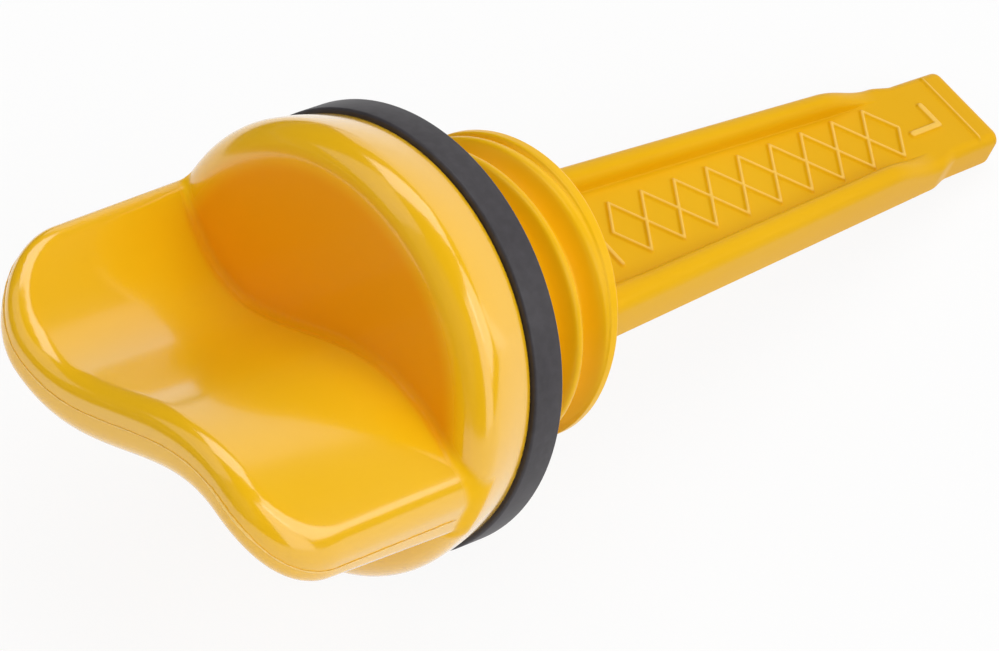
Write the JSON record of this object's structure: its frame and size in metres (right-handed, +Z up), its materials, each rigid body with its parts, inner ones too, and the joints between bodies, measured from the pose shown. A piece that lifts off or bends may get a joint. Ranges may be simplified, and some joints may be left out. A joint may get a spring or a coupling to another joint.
{
  "type": "engine oil dipstick",
  "caption": "Screw-in engine oil filler plug with an S-wave grip, a rubber gasket and a moulded dipstick blade with hatched level marks.",
  "frame": {"origin": "on the surface that it lies on, under the middle of its bounding box", "axes": "+Y from the grip towards the tip of the blade, +Z up, +X across the blade"},
  "size_m": [0.029, 0.076, 0.0293],
  "materials": {
    "cap_plastic": "gloss",
    "gasket_rubber": "satin"
  },
  "bodies": {
    "root": {"cap_dipstick": "cap_plastic", "gasket": "gasket_rubber"}
  },
  "joints": []
}
